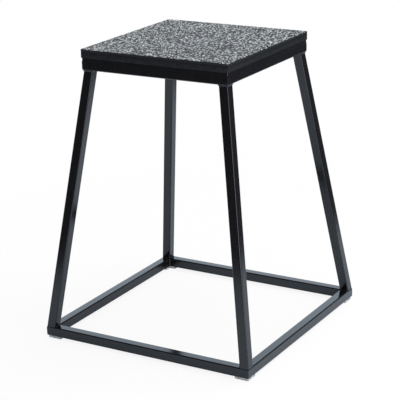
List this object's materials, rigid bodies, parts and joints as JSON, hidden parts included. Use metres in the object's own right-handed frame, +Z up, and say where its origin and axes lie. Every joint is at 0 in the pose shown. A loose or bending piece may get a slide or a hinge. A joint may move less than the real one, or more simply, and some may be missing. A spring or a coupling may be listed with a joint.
{
  "type": "plyometric jump box",
  "caption": "Open welded jump box: splayed square-tube legs on a square base ring carry a smaller top ring with a steel deck and a speckled rubber landing tile, on thin corner pads.",
  "frame": {"origin": "on the floor under the middle of the box", "axes": "+Z up, -Y to the front, X and Y square to the sides of the rings"},
  "size_m": [0.595, 0.595, 0.752],
  "materials": {
    "frame_paint": "glossy black powder coat",
    "tile_black": "matt black bonded rubber granulate",
    "tile_fleck": "matt black and grey speckled rubber granulate",
    "foot_pad": "milky translucent plastic"
  },
  "bodies": {
    "root": {"base_tube_front": "frame_paint", "base_tube_right": "frame_paint", "base_tube_back": "frame_paint", "base_tube_left": "frame_paint", "leg_front_right": "frame_paint", "leg_back_right": "frame_paint", "leg_back_left": "frame_paint", "leg_front_left": "frame_paint", "top_rail_front": "frame_paint", "top_rail_right": "frame_paint", "top_rail_back": "frame_paint", "top_rail_left": "frame_paint", "cross_rail": "frame_paint", "deck_plate": "frame_paint", "tile_base": "tile_black", "tile_wear_layer": "tile_fleck", "foot_front_right": "foot_pad", "foot_back_right": "foot_pad", "foot_back_left": "foot_pad", "foot_front_left": "foot_pad", "base_corner_welds": "frame_paint", "rail_corner_welds": "frame_paint", "leg_foot_welds": "frame_paint", "leg_head_welds": "frame_paint", "cross_rail_welds": "frame_paint", "deck_seam_weld": "frame_paint"}
  },
  "joints": []
}
